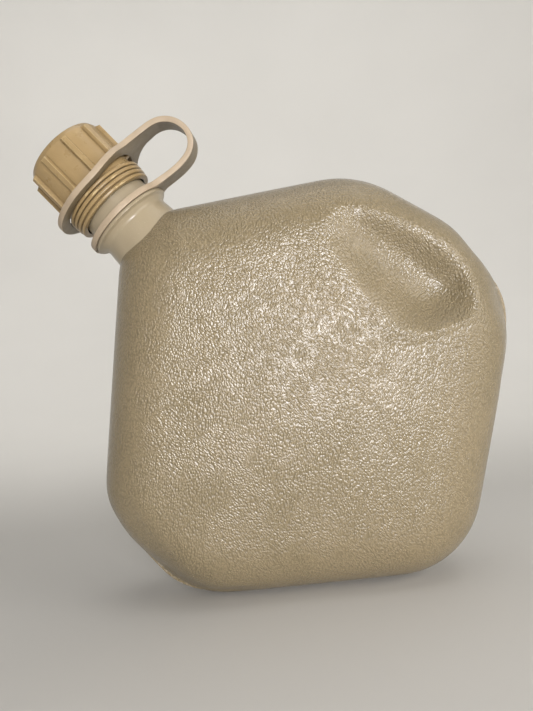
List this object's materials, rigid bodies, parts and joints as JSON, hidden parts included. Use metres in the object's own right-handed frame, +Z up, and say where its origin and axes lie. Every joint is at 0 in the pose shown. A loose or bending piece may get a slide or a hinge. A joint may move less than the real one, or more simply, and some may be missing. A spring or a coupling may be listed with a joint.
{
  "type": "collapsible canteen",
  "caption": "Soft-bodied canteen with a rounded six-sided outline, a leaning neck at one corner, a ribbed screw cap and a rubber strap that keeps the cap.",
  "frame": {"origin": "centre of the flat base on the parting plane of the body", "axes": "+Z up with the canteen standing on its base, +X from the neck's corner towards the far corner, -Y out of the front wall"},
  "size_m": [0.2262, 0.07, 0.2378],
  "materials": {
    "body_plastic": "leather-like moulded grain with a waxy sheen",
    "neck_plastic": "smooth satin",
    "cap_plastic": "smooth semi-gloss",
    "strap_rubber": "satin soft plastic",
    "gasket_rubber": "matt"
  },
  "bodies": {
    "body": {"body_shell": "body_plastic", "neck_spout": "neck_plastic"},
    "front_wall": {"front_wall": "body_plastic"},
    "back_wall": {"back_wall": "body_plastic"},
    "gasket": {"cap_gasket": "gasket_rubber"},
    "cap": {"cap_shell": "cap_plastic"},
    "strap_base": {"strap_neck_ring": "strap_rubber"},
    "strap_middle": {"strap_loop": "strap_rubber"},
    "strap_top": {"strap_cap_ring": "strap_rubber"}
  },
  "joints": [
    {"name": "front_press", "type": "slide", "parent": "body", "child": "front_wall", "axis": [0, 1, 0], "range_m": [0, 0.022], "stiffness_N_per_m": 400},
    {"name": "back_press", "type": "slide", "parent": "body", "child": "back_wall", "axis": [0, -1, 0], "range_m": [0, 0.022], "stiffness_N_per_m": 400},
    {"name": "cap_rise", "type": "slide", "parent": "body", "child": "gasket", "axis": [-0.6293, 0, 0.7771], "range_m": [0, 0.03713]},
    {"name": "cap_turn", "type": "hinge", "parent": "gasket", "child": "cap", "pos_m": [-0.0632, 0, 0.1759], "axis": [-0.6293, 0, 0.7771], "range_deg": [0, 2970]},
    {"name": "strap_swivel", "type": "hinge", "parent": "body", "child": "strap_base", "pos_m": [-0.0632, 0, 0.1759], "axis": [-0.6293, 0, 0.7771], "continuous": true},
    {"name": "strap_stretch_lower", "type": "slide", "parent": "strap_base", "child": "strap_middle", "axis": [-0.8029, 0.0673, 0.5923], "range_m": [0, 0.01922]},
    {"name": "strap_stretch_upper", "type": "slide", "parent": "strap_middle", "child": "strap_top", "axis": [-0.4124, -0.0673, 0.9085], "range_m": [0, 0.01922]}
  ],
  "couplings": [
    {"joint": "cap_rise", "follows": "cap_turn", "m_per_rad": 0.0007162},
    {"joint": "strap_stretch_lower", "follows": "cap_turn", "m_per_rad": 0.00037086},
    {"joint": "strap_stretch_upper", "follows": "cap_turn", "m_per_rad": 0.00037086}
  ]
}
